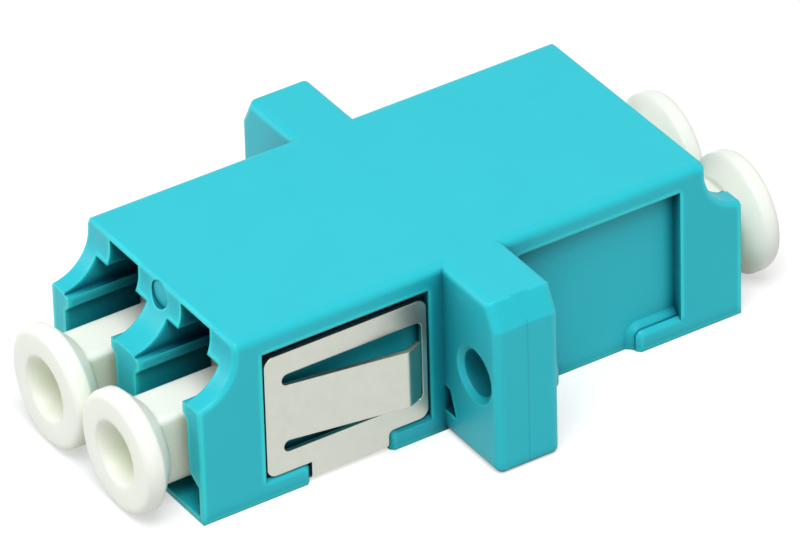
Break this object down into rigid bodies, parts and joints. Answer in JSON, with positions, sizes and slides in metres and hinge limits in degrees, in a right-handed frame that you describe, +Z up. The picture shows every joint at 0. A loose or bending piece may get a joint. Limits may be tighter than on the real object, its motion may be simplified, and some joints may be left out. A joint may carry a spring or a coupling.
{
  "type": "lc fibre adapter",
  "caption": "Fibre-optic adapter for LC plugs with side-by-side ports, a screw flange round the middle, a sprung steel panel clip and pull-out dust caps.",
  "frame": {"origin": "on the flat underside, in the middle of the width, on the weld plane between the two housings", "axes": "+X across the two ports, +Y along the fibre axis from the clip's end to the other, +Z up"},
  "size_m": [0.022, 0.0354, 0.0093],
  "materials": {
    "housing_plastic": "aqua moulded plastic, satin",
    "spring_steel": "plain stamped stainless sheet",
    "zirconia": "polished white ceramic",
    "cap_plastic": "warm white soft plastic"
  },
  "bodies": {
    "adapter": {"front_housing": "housing_plastic", "rear_housing": "housing_plastic", "panel_clip": "spring_steel", "sleeve_left": "zirconia", "sleeve_right": "zirconia"},
    "cap_front_left": {"dust_cap_front_left": "cap_plastic"},
    "cap_front_right": {"dust_cap_front_right": "cap_plastic"},
    "cap_rear_left": {"dust_cap_rear_left": "cap_plastic"},
    "cap_rear_right": {"dust_cap_rear_right": "cap_plastic"}
  },
  "joints": [
    {"name": "cap_front_left_pull", "type": "slide", "parent": "adapter", "child": "cap_front_left", "axis": [0, -1, 0], "range_m": [0, 0.0125]},
    {"name": "cap_front_right_pull", "type": "slide", "parent": "adapter", "child": "cap_front_right", "axis": [0, -1, 0], "range_m": [0, 0.0125]},
    {"name": "cap_rear_left_pull", "type": "slide", "parent": "adapter", "child": "cap_rear_left", "axis": [0, 1, 0], "range_m": [0, 0.0125]},
    {"name": "cap_rear_right_pull", "type": "slide", "parent": "adapter", "child": "cap_rear_right", "axis": [0, 1, 0], "range_m": [0, 0.0125]}
  ]
}
